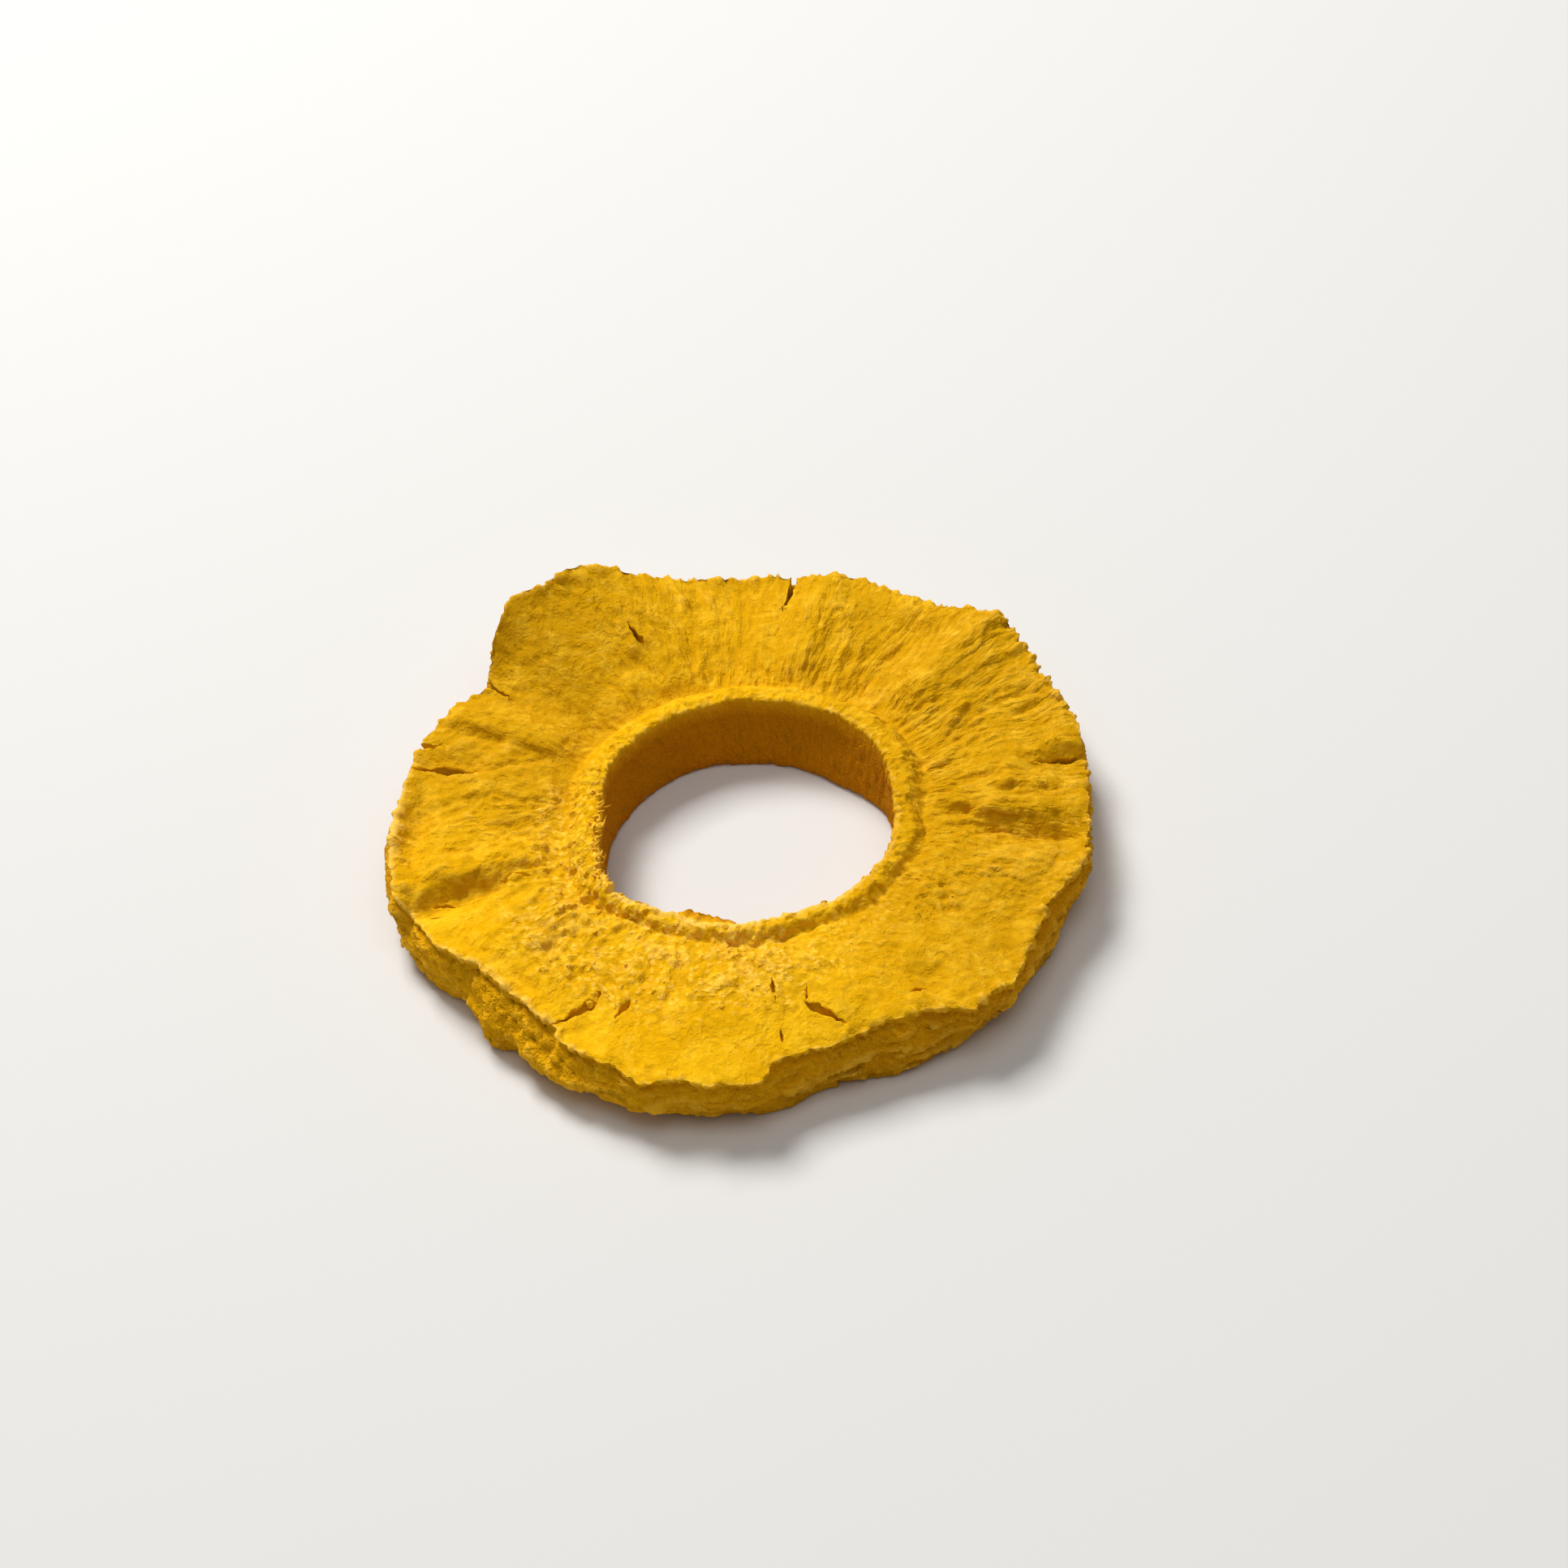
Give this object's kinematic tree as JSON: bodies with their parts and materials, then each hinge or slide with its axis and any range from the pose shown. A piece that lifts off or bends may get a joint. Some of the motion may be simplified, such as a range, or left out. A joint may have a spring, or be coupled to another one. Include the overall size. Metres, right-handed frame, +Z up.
{
  "type": "freeze-dried pineapple ring",
  "caption": "Freeze-dried pineapple ring lying flat: a warped, fibrous yellow slice round a cored hole, with a raised collar at the hole, torn slits and a curled, ragged edge.",
  "frame": {"origin": "middle of the bounding box in plan, on the plane the ring rests on", "axes": "+Z up, through the hole and out of the shown face; -Y towards the front of the ring, which has the small tongue of its edge; the curled-up edge is at -X, +Y"},
  "size_m": [0.0816, 0.0808, 0.0154],
  "materials": {
    "dried_flesh": "matt, dry and porous, with radial fibres and fine granules"
  },
  "bodies": {
    "root": {"pineapple_ring": "dried_flesh"}
  },
  "joints": []
}
